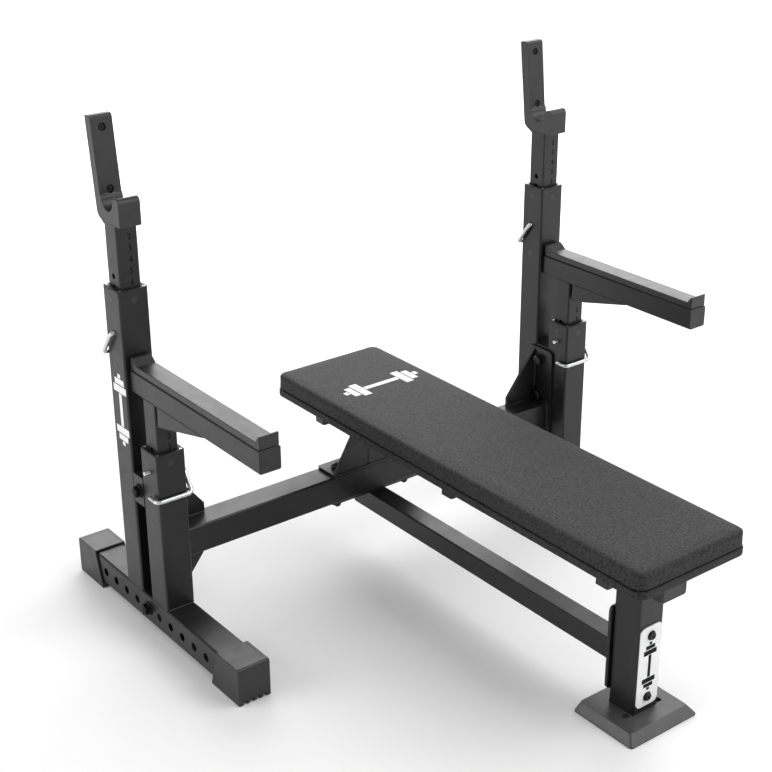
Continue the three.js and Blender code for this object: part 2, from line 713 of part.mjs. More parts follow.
// ---------- assembly ----------
function addSideFrame(name, side) {
  const frame = new THREE.Group();
  frame.position.x = side * UPRIGHT_X;
  bench.add(frame);
  const inward = -side;
  piece(frame, `base_tube_${name}`, baseTube(), POWDER);
  const frontCap = piece(frame, `foot_cap_front_${name}`, footCap(), RUBBER);
  frontCap.position.y = BASE.front;
  const backCap = piece(frame, `foot_cap_back_${name}`, footCap(), RUBBER);
  backCap.position.y = BASE.back;
  backCap.rotation.z = Math.PI;
  piece(frame, `back_post_${name}`, post(BACK_Y, BACK_POST_TOP, HOOK_PIN_Z), POWDER);
  piece(frame, `front_post_${name}`, post(FRONT_Y, FRONT_POST_TOP, ARM_PIN_Z), POWDER);
  piece(frame, `post_spacer_${name}`, postSpacer(inward), POWDER);
  piece(frame, `hook_bush_${name}`, glideBush(BACK_Y, BACK_POST_TOP), NYLON);
  piece(frame, `arm_bush_${name}`, glideBush(FRONT_Y, FRONT_POST_TOP), NYLON);
  piece(frame, `crossbeam_bracket_${name}`, crossbeamBracket(inward), POWDER);
  for (const [level, z] of Object.entries(BRACKET_BOLT_Z)) {
    piece(frame, `bracket_bolt_${level}_${name}`, bracketBolt(inward, z), BLACK_STEEL);
  }
  addHook(frame, name);
  addArm(frame, name);
}

function addHook(frame, name) {
  const hook = new THREE.Group();
  hook.position.y = BACK_Y;
  frame.add(hook);
  piece(hook, `hook_slider_${name}`, hookSlider(), POWDER);
  piece(hook, `bar_hook_${name}`, barHook(), NYLON);
  piece(hook, `hook_screw_upper_${name}`, hookScrew(HOOK_SCREW.upper), BLACK_STEEL);
  piece(hook, `hook_screw_lower_${name}`, hookScrew(HOOK_SCREW.lower), BLACK_STEEL);
  const pin = piece(hook, `hook_pin_${name}`, lockingPin(), CHROME);
  pin.position.z = HOOK_PIN_Z;
  pin.rotation.z = Math.PI; // put in from -X, with its handle round the post's back
}

function addArm(frame, name) {
  const arm = new THREE.Group();
  arm.position.y = FRONT_Y;
  frame.add(arm);
  piece(arm, `spotter_arm_${name}`, spotterArm(), POWDER);
  piece(arm, `arm_strip_${name}`, armStrip(), STRIP_PLASTIC);
  piece(arm, `arm_pin_${name}`, lockingPin(), CHROME).position.z = ARM_PIN_Z;
}

function addBench() {
  piece(bench, "crossbeam", crossbeam(), POWDER);
  piece(bench, "head_post", headPost(), POWDER);
  piece(bench, "clamp_plate", clampPlate(), POWDER);
  for (const [name, side] of [["left", -1], ["right", 1]]) {
    const bolt = piece(bench, `saddle_bolt_${name}`, saddleBolt(), BLACK_STEEL);
    bolt.position.set(side * SADDLE_BOLT.x, MID_Y, 0);
  }
  piece(bench, "bench_spine", benchSpine(), POWDER);
  for (const [name, y] of Object.entries(PAD_BRACKET.centres)) {
    piece(bench, `pad_bracket_${name}`, padBracket(), POWDER).position.y = y;
  }
  piece(bench, "pad_board", padBoard(), LEATHERETTE);
  piece(bench, "pad_cushion", padCushion(), LEATHERETTE);
  piece(bench, "lower_beam", lowerBeam(), POWDER);
  piece(bench, "foot_post", footPost(), POWDER);
  piece(bench, "foot_plate", footPlate(), RUBBER);
  piece(bench, "name_plate", namePlate(), WHITE_PAINT);
  for (const [name, z] of Object.entries(PLATE_SCREW_Z)) {
    piece(bench, `name_plate_screw_${name}`, namePlateScrew(z), BLACK_STEEL);
  }
}

addSideFrame("left", -1);
addSideFrame("right", 1);
addBench();

export default bench;
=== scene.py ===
"""Olympic bench press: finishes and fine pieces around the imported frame.

Metres, +Z up. X runs across the bench, +Y points to the head end.
"""
import json
import math

import bmesh
import bpy
from mathutils import Matrix, Vector


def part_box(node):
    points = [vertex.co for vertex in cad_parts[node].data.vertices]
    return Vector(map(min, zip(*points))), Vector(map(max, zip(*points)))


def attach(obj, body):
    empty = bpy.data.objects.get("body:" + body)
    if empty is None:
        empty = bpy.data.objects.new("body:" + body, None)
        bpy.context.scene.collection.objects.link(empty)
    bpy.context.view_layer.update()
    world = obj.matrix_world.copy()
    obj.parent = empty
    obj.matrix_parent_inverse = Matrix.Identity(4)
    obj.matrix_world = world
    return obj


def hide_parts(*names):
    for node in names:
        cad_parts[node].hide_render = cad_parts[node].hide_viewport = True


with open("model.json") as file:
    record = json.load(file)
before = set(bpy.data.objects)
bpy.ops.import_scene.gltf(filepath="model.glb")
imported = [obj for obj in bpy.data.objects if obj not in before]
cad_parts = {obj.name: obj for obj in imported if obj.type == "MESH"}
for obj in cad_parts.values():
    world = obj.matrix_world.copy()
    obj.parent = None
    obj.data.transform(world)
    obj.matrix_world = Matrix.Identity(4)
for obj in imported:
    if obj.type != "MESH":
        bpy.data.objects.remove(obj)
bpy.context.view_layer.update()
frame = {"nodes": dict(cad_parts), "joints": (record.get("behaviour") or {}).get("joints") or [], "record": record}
NODES = frame["nodes"]
JOINTS = {joint["name"]: joint for joint in frame["joints"]}
SIDES = {"left": -1, "right": 1}
MM = 0.001

# ---------- sizes shared by the fine pieces ----------
TUBE_HALF = 35 * MM  # half of the frame tube
SLIDE_HALF = 25 * MM  # half of the sliding tube
STEP = 25 * MM  # height step of the sliding tubes
WELD = 2.2 * MM  # radius of a weld bead
PRINT = 0.15 * MM  # how far printed marks stand off a surface
UPRIGHT_X = 599 * MM
LOWER_BEAM_Z = 133.4 * MM  # centre height of the lower beam


# ---------- materials ----------
class Shader:
    """A principled material, with short calls for the nodes that vary it over the surface."""

    def __init__(self, name, **sockets):
        self.material = bpy.data.materials.new(name)
        self.material.use_nodes = True
        self.tree = self.material.node_tree
        self.bsdf = self.tree.nodes["Principled BSDF"]
        for socket, value in sockets.items():
            self.bsdf.inputs[socket.replace("_", " ")].default_value = value
        self.place = self.tree.nodes.new("ShaderNodeTexCoord").outputs["Object"]

    def node(self, kind, **settings):
        made = self.tree.nodes.new(kind)
        for key, value in settings.items():
            setattr(made, key, value)
        return made

    def link(self, output, target):
        self.tree.links.new(output, target)

    def noise(self, size, detail=3.0, rough=0.55, stretch=None):
        """Noise whose features are about size metres wide."""
        made = self.node("ShaderNodeTexNoise")
        made.inputs["Scale"].default_value = 1 / size
        made.inputs["Detail"].default_value = detail
        made.inputs["Roughness"].default_value = rough
        if stretch:
            mapping = self.node("ShaderNodeMapping")
            mapping.inputs["Scale"].default_value = stretch
            self.link(self.place, mapping.inputs["Vector"])
            self.link(mapping.outputs["Vector"], made.inputs["Vector"])
        else:
            self.link(self.place, made.inputs["Vector"])
        return made.outputs["Fac"]

    def cells(self, size):
        """Distance to the middle of rounded cells about size metres wide."""
        made = self.node("ShaderNodeTexVoronoi", feature="F1")
        made.inputs["Scale"].default_value = 1 / size
        self.link(self.place, made.inputs["Vector"])
        return made.outputs["Distance"]

    def span(self, value, low, high, start=0.3, end=0.7):
        """Maps value from start..end to low..high."""
        made = self.node("ShaderNodeMapRange")
        made.inputs["From Min"].default_value = start
        made.inputs["From Max"].default_value = end
        made.inputs["To Min"].default_value = low
        made.inputs["To Max"].default_value = high
        self.link(value, made.inputs["Value"])
        return made.outputs["Result"]

    def math(self, operation, first, second):
        made = self.node("ShaderNodeMath", operation=operation)
        for socket, value in zip(made.inputs, (first, second)):
            if isinstance(value, (int, float)):
                socket.default_value = value
            else:
                self.link(value, socket)
        return made.outputs[0]

    def mix(self, factor, first, second):
        """Mixes two colours, each given as RGB or as an output."""
        made = self.node("ShaderNodeMix", data_type="RGBA")
        self.link(factor, made.inputs["Factor"])
        for socket, value in ((made.inputs[6], first), (made.inputs[7], second)):
            if isinstance(value, tuple):
                socket.default_value = (*value, 1)
            else:
                self.link(value, socket)
        return made.outputs[2]

    def edges(self, width):
        """1 along sharp edges and 0 on flat surfaces, broken up by noise."""
        bevel = self.node("ShaderNodeBevel", samples=4)
        bevel.inputs["Radius"].default_value = width
        plain = self.node("ShaderNodeNewGeometry")
        dot = self.node("ShaderNodeVectorMath", operation="DOT_PRODUCT")
        self.link(bevel.outputs["Normal"], dot.inputs[0])
        self.link(plain.outputs["Normal"], dot.inputs[1])
        edge = self.span(dot.outputs["Value"], 1, 0, 0.80, 0.985)
        worn = self.span(self.noise(14 * MM), 0, 1, 0.42, 0.62)
        return self.math("MULTIPLY", edge, worn)

    def bump(self, height, distance, strength=1.0, rounding=0.0):
        made = self.node("ShaderNodeBump")
        made.inputs["Distance"].default_value = distance
        made.inputs["Strength"].default_value = strength
        self.link(height, made.inputs["Height"])
        if rounding:
            bevel = self.node("ShaderNodeBevel", samples=6)
            bevel.inputs["Radius"].default_value = rounding
            self.link(bevel.outputs["Normal"], made.inputs["Normal"])
        self.link(made.outputs["Normal"], self.bsdf.inputs["Normal"])

    def finish(self, color, roughness):
        self.link(color, self.bsdf.inputs["Base Color"])
        self.link(roughness, self.bsdf.inputs["Roughness"])
        return self.material


def grey(value, tint=0.0):
    """A near-neutral colour; tint above 0 leans it towards blue."""
    return (value * (1 - tint), value, value * (1 + tint))


def powder_coat():
    """Satin black powder coat: orange-peel bump, faint mottling and rubbed edges."""
    s = Shader("powder_coat", Metallic=0.0, Specular_IOR_Level=0.42)
    base = s.mix(s.span(s.noise(60 * MM), 0, 1), grey(0.0065, 0.02), grey(0.009, 0.02))
    color = s.mix(s.span(s.edges(1.2 * MM), 0, 0.55, 0, 1), base, grey(0.05))
    smear = s.span(s.noise(35 * MM, 5, 0.65), 0.31, 0.41)
    s.bump(s.noise(1.1 * MM, 2), 0.03 * MM, 0.4, rounding=1.0 * MM)
    return s.finish(color, smear)


def moulded(name, shade, rough, grain, edge_sheen_and_wear=1.6):
    """Moulded nylon or rubber: fine pebbled grain, and edges painted paler, partly scuffing and partly a painted
    sheen of polished edges.
    """
    s = Shader(name, Specular_IOR_Level=0.5)
    base = s.mix(s.span(s.noise(40 * MM), 0, 1), grey(shade * 0.85), grey(shade * 1.15))
    # edges painted paler: partly scuffs, partly a painted sheen standing for light on polished edges
    color = s.mix(s.span(s.edges(1.5 * MM), 0, 0.4, 0, 1), base, grey(shade * edge_sheen_and_wear * 2))
    roughness = s.span(s.noise(25 * MM, 4), rough - 0.03, rough + 0.04)
    s.bump(s.cells(grain), 0.04 * MM, 0.3, rounding=1.2 * MM)
    return s.finish(color, roughness)


def chrome():
    """Bright plating with faint smears and hairline draw marks."""
    s = Shader("chrome", Metallic=1.0)
    color = s.mix(s.span(s.noise(12 * MM), 0, 1), grey(0.58, 0.01), grey(0.68, 0.01))
    s.bump(s.noise(0.8 * MM, 2, 0.5, (8, 1, 1)), 0.01 * MM, 0.4)
    return s.finish(color, s.span(s.noise(9 * MM, 5), 0.22, 0.34))


def black_oxide():
    """Dark oiled steel of bolts, brighter where a spanner rubs."""
    s = Shader("black_oxide", Metallic=0.3, Specular_IOR_Level=0.4)
    base = s.mix(s.span(s.noise(6 * MM), 0, 1), grey(0.004), grey(0.009))
    color = s.mix(s.span(s.edges(0.7 * MM), 0, 0.6, 0, 1), base, grey(0.06))
    s.bump(s.noise(0.9 * MM), 0.02 * MM, 0.4, rounding=0.5 * MM)
    return s.finish(color, s.span(s.noise(5 * MM, 4), 0.3, 0.42))


def leatherette():
    """Upholstery: fine creased grain, with pale flecks painted into the colour as painted glints on the grain's
    tops.
    """
    s = Shader("leatherette", Specular_IOR_Level=0.2)
    # painted highlight: pale flecks in the colour stand for glints on the grain's tops
    grain_glint_flecks = s.span(s.noise(5 * MM, 5, 0.8), 0, 1, 0.4, 0.62)
    tone = s.mix(grain_glint_flecks, grey(0.008), grey(0.042))
    color = s.mix(s.span(s.noise(90 * MM), 0, 0.25), tone, grey(0.03))
    height = s.math("ADD", s.math("MULTIPLY", s.cells(2.2 * MM), 0.6), s.noise(3.4 * MM, 4, 0.7))
    s.bump(height, 0.35 * MM, 0.8)
    return s.finish(color, s.span(s.noise(3.2 * MM, 4), 0.5, 0.72))


def white_enamel():
    """Gloss white paint with a trace of dust."""
    s = Shader("white_enamel", Specular_IOR_Level=0.5)
    color = s.mix(s.span(s.noise(18 * MM, 5), 0, 1, 0.35, 0.75), grey(0.94), grey(0.88))
    s.bump(s.noise(1.4 * MM, 2), 0.02 * MM, 0.3, rounding=0.8 * MM)
    return s.finish(color, s.span(s.noise(10 * MM), 0.28, 0.4))


def white_ink():
    """Screen-printed white, thin enough to show the grain under it."""
    s = Shader("white_ink", Specular_IOR_Level=0.3)
    color = s.mix(s.span(s.noise(2 * MM, 4, 0.7), 0, 1), grey(0.88), grey(0.72))
    s.bump(s.cells(1.7 * MM), 0.05 * MM, 0.4)
    return s.finish(color, s.span(s.noise(4 * MM), 0.45, 0.6))


def dark_ink():
    """Black fill of stamped numbers, also used as painted shade in the foot caps' grooves."""
    s = Shader("dark_ink", Specular_IOR_Level=0.2)
    color = s.mix(s.span(s.noise(3 * MM), 0, 1), grey(0.002), grey(0.005))
    s.bump(s.noise(0.6 * MM), 0.02 * MM, 0.4)
    return s.finish(color, s.span(s.noise(3 * MM), 0.6, 0.8))


def weld_metal():
    """Powder-coated weld: the coat's finish, glossier on the ripples."""
    s = Shader("coated_weld", Specular_IOR_Level=0.5)
    color = s.mix(s.span(s.noise(4 * MM), 0, 1), grey(0.006), grey(0.01))
    s.bump(s.noise(1.6 * MM, 3), 0.15 * MM, 0.6)
    return s.finish(color, s.span(s.noise(6 * MM), 0.32, 0.45))


FINISH = {
    "powder_coat": powder_coat(),
    # the last number of a moulded finish sets how much paler its edges are painted, partly as painted sheen
    "rubber": moulded("rubber", 0.012, 0.37, 1.2 * MM, 3.0),
    "nylon": moulded("nylon", 0.016, 0.4, 0.9 * MM, 2.4),
    "strip_plastic": moulded("strip_plastic", 0.009, 0.38, 0.9 * MM, 3.0),
    "chrome": chrome(),
    "black_bolt": black_oxide(),
    "upholstery": leatherette(),
    "white_paint": white_enamel(),
}
SPECIAL = {
    "foot_plate": moulded("foot_plate_rubber", 0.06, 0.4, 1.2 * MM),
    "hook_bush": moulded("bush_nylon", 0.004, 0.6, 0.9 * MM),
}
SPECIAL["arm_bush"] = SPECIAL["hook_bush"]
WHITE_INK = white_ink()
# black ink of numbers and marks, also the painted groove shade on the foot caps
DARK_INK_AND_GROOVE_SHADE = dark_ink()
COATED_WELD = weld_metal()


# ---------- making pieces ----------
def add_piece(obj, body, slot, material=None):
    """Links a new object, gives it its finish and lets it ride on a body."""
    if obj.name not in bpy.context.scene.collection.objects:
        bpy.context.scene.collection.objects.link(obj)
    obj.data.materials.clear()
    obj.data.materials.append(material or FINISH[slot])
    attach(obj, body)
    return obj


def from_bmesh(name, bm):
    mesh = bpy.data.meshes.new(name)
    bmesh.ops.recalc_face_normals(bm, faces=bm.faces)
    bm.to_mesh(mesh)
    bm.free()
    return bpy.data.objects.new(name, mesh)


def smooth(obj, angle=50):
    """Smooth shading that keeps edges sharper than angle, in degrees."""
    for polygon in obj.data.polygons:
        polygon.use_smooth = True
    split = obj.modifiers.new("sharp_edges", "EDGE_SPLIT")
    split.split_angle = math.radians(angle)
    normals = obj.modifiers.new("flat_faces", "WEIGHTED_NORMAL")
    normals.weight = 100
    return obj


def bevel(obj, width, segments=3, angle=40):
    made = obj.modifiers.new("soft_edges", "BEVEL")
    made.width = width
    made.segments = segments
    made.limit_method = "ANGLE"
    made.angle_limit = math.radians(angle)
    return obj


def lathe(name, profile, origin, axis, sides=40):
    """A turned solid. The profile is (distance along axis, radius) pairs and its ends lie on the axis."""
    bm = bmesh.new()
    turn = Vector((0, 0, 1)).rotation_difference(Vector(axis))
    rings = []
    for along, radius in profile:
        ring = []
        for i in range(sides if radius > 0 else 1):
            angle = 2 * math.pi * i / sides
            point = Vector((radius * math.cos(angle), radius * math.sin(angle), along))
            ring.append(bm.verts.new(turn @ point + Vector(origin)))
        rings.append(ring)
    for low, high in zip(rings, rings[1:]):
        for i in range(sides):
            j = (i + 1) % sides
            corners = [low[i % len(low)], low[j % len(low)], high[j % len(high)], high[i % len(high)]]
            bm.faces.new(list(dict.fromkeys(corners)))
    return from_bmesh(name, bm)


def turned(name, profile, origin, axis, body, slot, angle=60, sides=40):
    """A lathe piece with its profile in millimetres, finished and added to a body."""
    obj = lathe(name, [(along * MM, radius * MM) for along, radius in profile], origin, axis, sides)
    return smooth(add_piece(obj, body, slot), angle)


def rounded_route(points, bend, steps=8):
    """The points joined by straight runs and rounded bends."""
    points = [Vector(p) for p in points]
    route = [points[0]]
    for before, corner, after in zip(points, points[1:], points[2:]):
        room = min(bend, (corner - before).length * 0.45, (after - corner).length * 0.45)
        enter = corner + (before - corner).normalized() * room
        leave = corner + (after - corner).normalized() * room
        for i in range(steps + 1):
            t = i / steps
            route.append(enter * (1 - t) ** 2 + corner * 2 * t * (1 - t) + leave * t**2)
    return route + [points[-1]]


def wire(name, route, radius, radii):
    """A round wire along a route; radii scale it point by point."""
    curve = bpy.data.curves.new(name, "CURVE")
    curve.dimensions = "3D"
    curve.bevel_depth = radius
    curve.bevel_resolution = 5
    curve.use_fill_caps = True
    spline = curve.splines.new("POLY")
    spline.points.add(len(route) - 1)
    for point, place in zip(spline.points, route):
        point.co = (*place, 1)
    for point, scale in zip(spline.points, radii):
        point.radius = scale
    return bpy.data.objects.new(name, curve)


def weld_bead(name, corners, body):
    """A rippled weld bead along straight runs between the corners."""
    route = []
    for start, end in zip(corners, corners[1:]):
        start, end = Vector(start), Vector(end)
        count = max(2, round((end - start).length / (1.5 * MM)))
        route += [start.lerp(end, i / count) for i in range(count)]
    route.append(Vector(corners[-1]))
    radii = [1 + 0.16 * math.sin(i * 1.9) + 0.08 * math.sin(i * 0.37) for i in range(len(route))]
    radii[0] = radii[-1] = 0.5
    return add_piece(wire(name, route, WELD, radii), body, "powder_coat", COATED_WELD)


def hex_head(name, origin, axis, across, height, washer=0.0):
    """A bolt head with a chamfered crown and a washer under it."""
    bm = bmesh.new()
    turn = Vector((0, 0, 1)).rotation_difference(Vector(axis))
    radius = across / 2 / math.cos(math.pi / 6)
    thickness = 3 * MM if washer else 0
    levels = ((thickness, radius), (thickness + height * 0.82, radius), (thickness + height, radius * 0.86))
    rings = []
    for along, size in levels:
        turns = [i * math.pi / 3 for i in range(6)]
        corners = [Vector((size * math.cos(a), size * math.sin(a), along)) for a in turns]
        rings.append([bm.verts.new(turn @ corner + Vector(origin)) for corner in corners])
    for low, high in zip(rings, rings[1:]):
        for i in range(6):
            j = (i + 1) % 6
            bm.faces.new((low[i], low[j], high[j], high[i]))
    bm.faces.new(rings[0][::-1])
    bm.faces.new(rings[-1])
    parts = [bevel(from_bmesh(name, bm), 0.5 * MM, 2, 30)]
    if washer:
        rim = washer - 0.8 * MM
        profile = [(0, 0), (0, washer), (thickness * 0.7, washer), (thickness, rim), (thickness, 0)]
        parts.append(lathe(f"{name}_washer", profile, origin, axis))
    return parts


def add_hex_head(name, origin, axis, across=25 * MM, height=12 * MM, washer=17 * MM):
    """A hex head or nut on the frame, and its washer; across is the width over the flats."""
    for part in hex_head(name, origin, axis, across, height, washer):
        smooth(add_piece(part, "frame", "black_bolt"), 35)


# ---------- carried-over CAD nodes ----------
SOFT_EDGE = {
    "bar_hook": 1.6 * MM,
    "arm_strip": 1.2 * MM,
    "foot_cap": 2.5 * MM,
    "foot_plate": 1.5 * MM,
    "name_plate": 0.6 * MM,
}


def dress_cad_nodes():
    """Gives each carried-over node its finish, welded shading and, on moulded pieces, rounded edges."""
    slots = {part["node"]: part["material_slot"] for part in frame["record"]["subparts"]}
    for name, node in NODES.items():
        node.data.materials.clear()
        special = next((m for start, m in SPECIAL.items() if name.startswith(start)), None)
        node.data.materials.append(special or FINISH[slots[name]])
        weld = node.modifiers.new("one_skin", "WELD")
        weld.merge_threshold = 0.01 * MM
        width = next((w for start, w in SOFT_EDGE.items() if name.startswith(start)), None)
        if width and "screw" not in name:
            flat = node.modifiers.new("flat_faces_only", "DECIMATE")
            flat.decimate_type = "DISSOLVE"
            flat.angle_limit = math.radians(1)
            bevel(node, width)
        smooth(node, 30 if name.startswith("arm_strip") else 50)


# ---------- pad ----------
def rounded_outline(half_x, low_y, high_y, corner, steps=8):
    """Points round a rectangle with rounded corners."""
    centres = (
        (half_x - corner, high_y - corner, 0),
        (corner - half_x, high_y - corner, 1),
        (corner - half_x, low_y + corner, 2),
        (half_x - corner, low_y + corner, 3),
    )
    points = []
    for x, y, quarter in centres:
        for i in range(steps + 1):
            angle = (quarter + i / steps) * math.pi / 2
            points.append((x + corner * math.cos(angle), y + corner * math.sin(angle)))
    return points


def slab(name, low, high, corner, profile):
    """A rounded slab; the profile is (inset, height from 0 to 1) pairs from bottom to top."""
    bm = bmesh.new()
    rings = []
    for inset, level in profile:
        outline = rounded_outline(high[0] - inset, low[1] + inset, high[1] - inset, corner - inset * 0.6)
        z = low[2] + (high[2] - low[2]) * level
        rings.append([bm.verts.new((x, y, z)) for x, y in outline])
    for below, above in zip(rings, rings[1:]):
        for i in range(len(below)):
            j = (i + 1) % len(below)
            bm.faces.new((below[i], below[j], above[j], above[i]))
    bm.faces.new(rings[0][::-1])
    bm.faces.new(rings[-1])
    return from_bmesh(name, bm)


def apply_modifiers(obj):
    """Replaces the object's mesh by what its modifiers make of it."""
    depsgraph = bpy.context.evaluated_depsgraph_get()
    mesh = bpy.data.meshes.new_from_object(obj.evaluated_get(depsgraph))
    obj.modifiers.clear()
    obj.data = mesh


INFLATE_FRAMES = 20


def inflate(obj, pressure, cap, fixed_below):
    """Blows the cover up with cloth simulation. Points below fixed_below stay; none moves more than cap."""
    scene = bpy.context.scene
    remesh = obj.modifiers.new("even_quads", "REMESH")
    remesh.mode = "VOXEL"
    remesh.voxel_size = 5 * MM
    apply_modifiers(obj)
    start = [v.co.copy() for v in obj.data.vertices]
    held = obj.vertex_groups.new(name="held")
    held.add([i for i, co in enumerate(start) if co.z < fixed_below], 1.0, "REPLACE")
    cloth = obj.modifiers.new("foam", "CLOTH")
    cloth.settings.use_pressure = True
    cloth.settings.uniform_pressure_force = pressure
    cloth.settings.effector_weights.gravity = 0
    cloth.settings.vertex_group_mass = "held"
    cloth.settings.quality = 5
    cloth.settings.tension_stiffness = 25
    cloth.settings.compression_stiffness = 25
    cloth.point_cache.frame_start = 1
    cloth.point_cache.frame_end = INFLATE_FRAMES
    for frame_number in range(1, INFLATE_FRAMES + 1):
        scene.frame_set(frame_number)
    apply_modifiers(obj)
    scene.frame_set(1)
    for vertex, before in zip(obj.data.vertices, start):
        move = vertex.co - before
        if move.length > cap:
            vertex.co = before + move.normalized() * cap


def make_cushion():
    """The foam cushion in its cover: softly crowned, crisp at the edge and tucked in at the seam."""
    low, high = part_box("pad_cushion")
    low, high = Vector(low), Vector(high)
    # the starting size, such that the blown-up cover fills the CAD cushion's box
    start_low = low + Vector((-1.2 * MM, 0.4 * MM, 0))
    start_high = high - Vector((-1.2 * MM, 0.4 * MM, 1.2 * MM))
    profile = ((1 * MM, 0), (0, 0.05), (0, 0.9), (0.9 * MM, 0.97), (3 * MM, 1.0))
    pad = slab("cushion_cover", start_low, start_high, 22 * MM, profile)
    bpy.context.scene.collection.objects.link(pad)
    inflate(pad, pressure=4.0, cap=1.3 * MM, fixed_below=low.z + 3 * MM)
    tuck_in_seam(pad, low, high)
    even = pad.modifiers.new("smooth_skin", "SUBSURF")
    even.levels = even.render_levels = 1
    for polygon in pad.data.polygons:
        polygon.use_smooth = True
    add_piece(pad, "frame", "upholstery")
    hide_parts("pad_cushion")


def tuck_in_seam(pad, low, high):
    """Pulls the lowest rows inwards, where the cover is drawn under the cushion."""
    middle = (low + high) / 2
    for vertex in pad.data.vertices:
        pull = max(0.0, 1 - (vertex.co.z - low.z) / (4 * MM)) ** 2 * 2 * MM
        for axis, reach in ((0, (high - low).x / 2), (1, (high - low).y / 2)):
            off = vertex.co[axis] - middle[axis]
            if abs(off) > reach - 45 * MM:
                vertex.co[axis] -= math.copysign(pull, off)


def make_board():
    """Wrapped board under the cushion, with its cover folded over the edge."""
    low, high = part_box("pad_board")
    profile = (
        (9 * MM, 0),
        (3 * MM, 0.0),
        (1.0 * MM, 0.06),
        (0.3 * MM, 0.2),
        (0.3 * MM, 0.84),
        (0.9 * MM, 0.93),
        (2.4 * MM, 0.98),
        (9 * MM, 1.0),
    )
    board = slab("pad_board_cover", low, high, 23 * MM, profile)
    smooth(add_piece(board, "frame", "upholstery"), 50)
    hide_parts("pad_board")
    make_staples(low, high)


def make_staples(low, high):
    """Row of staples that holds the cover under the board."""
    bm = bmesh.new()
    spacing = 38 * MM
    inset = 14 * MM
    margin = 50 * MM
    scale = Matrix.Diagonal((0.8 * MM, 10 * MM, 0.8 * MM, 1))
    for side in (-1, 1):
        for i in range(int((high[1] - low[1] - 2 * margin) / spacing)):
            y = low[1] + margin + i * spacing
            x = side * (high[0] - inset)
            matrix = Matrix.Translation((x, y, low[2])) @ scale
            bmesh.ops.create_cube(bm, size=1, matrix=matrix)
    staples = bevel(from_bmesh("pad_staples", bm), 0.2 * MM, 2)
    smooth(add_piece(staples, "frame", "chrome"))


# ---------- pins ----------
PIN_RADIUS = 5 * MM
PIN_BEND = 11 * MM
PIN_HOOK = 34 * MM  # length of the handle's turned-in end
PIN_TAPER = ((0.6 * MM, 0.9), (1.6 * MM, 1.0))  # distance from an end, and the radius there
PIN_TIP = 0.72  # radius at the very end


def make_locking_pin(kind, side):
    """A rod through the post, bent into a handle that goes round the post and ends in a hook."""
    joint = JOINTS[f"{kind}_turn_{side}"]
    centre = Vector(joint["pos_m"])
    out = -round(joint["axis"][0])  # 1 when the handle is on the +X side
    low, high = (Vector(corner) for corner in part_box(f"{kind}_{side}"))
    reach_y = (low.y + PIN_RADIUS if out > 0 else high.y - PIN_RADIUS) - centre.y
    drop = low.z + PIN_RADIUS - centre.z
    tip, far = (low.x, high.x - PIN_RADIUS) if out > 0 else (high.x, low.x + PIN_RADIUS)
    near = 2 * centre.x - far
    points = [
        (tip, centre.y, centre.z),
        (far, centre.y, centre.z),
        (far, centre.y + reach_y, centre.z + drop),
        (near, centre.y + reach_y, centre.z + drop),
        (near, centre.y + reach_y + out * PIN_HOOK, centre.z + drop),
    ]
    route = rounded_route(points, PIN_BEND)
    along = (route[1] - route[0]).normalized()
    back = (route[-2] - route[-1]).normalized()
    head = [route[0] + along * distance for distance, _ in PIN_TAPER]
    tail = [route[-1] + back * distance for distance, _ in reversed(PIN_TAPER)]
    taper = [PIN_TIP, *(scale for _, scale in PIN_TAPER)]
    radii = taper + [1.0] * (len(route) - 2) + taper[::-1]
    route = [route[0], *head, *route[1:-1], *tail, route[-1]]
    pin = wire(f"{kind}_rod_{side}", route, PIN_RADIUS, radii)
    add_piece(pin, f"{kind}_{side}", "chrome")
    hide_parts(f"{kind}_{side}")


# ---------- fine pieces on the frame ----------
BRACKET_BOLT_HEAD_X = 557.4 * MM  # where the head's washer sits on the bracket
BRACKET_BOLT_NUT_X = 634.3 * MM  # where the nut's washer sits on the post
BRACKET_BOLT_LENGTH = 93.4  # in millimetres, as in a profile
MIDDLE_BOLT_Z = 250 * MM


def make_bolt_heads(side, sign):
    """Finer heads and nuts over the bracket bolts, and the middle bolt of each bracket."""
    lower_low, lower_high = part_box(f"bracket_bolt_lower_{side}")
    y = (lower_low[1] + lower_high[1]) / 2
    inner, outer = sign * BRACKET_BOLT_HEAD_X, sign * BRACKET_BOLT_NUT_X
    length = BRACKET_BOLT_LENGTH
    shank = ((0, 0), (0, 8), (length - 1, 8), (length, 7), (length, 0))
    for level in ("lower", "upper"):
        node = f"bracket_bolt_{level}_{side}"
        low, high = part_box(node)
        z = (low[2] + high[2]) / 2
        add_hex_head(f"bolt_head_{level}_{side}", (inner, y, z), (-sign, 0, 0))
        add_hex_head(f"bolt_nut_{level}_{side}", (outer, y, z), (sign, 0, 0))
        place, along = (inner, y, z), (sign, 0, 0)
        rod = turned(f"bolt_shank_{level}_{side}", shank, place, along, "frame", "black_bolt", 30, 24)
        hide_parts(node)
    add_hex_head(f"bolt_head_middle_{side}", (inner, y, MIDDLE_BOLT_Z), (-sign, 0, 0))


DOME_CAP = ((0, 0), (0, 13.5), (4, 13.5), (6, 12.8), (8.5, 11), (10.3, 7.5), (11, 4), (9, 3.5), (9, 0))
NUT_FLANGE = ((0, 0), (0, 13.5), (3.2, 13.5), (4, 12.7), (4, 0))
NUT_DOME = ((0, 0), (0, 9.8), (4, 9), (7, 7), (9, 4.5), (10, 1.5), (10, 0))
CAP_HEIGHT = 11 * MM
NUT_HEIGHT = 24 * MM  # flange, hexagon and dome together


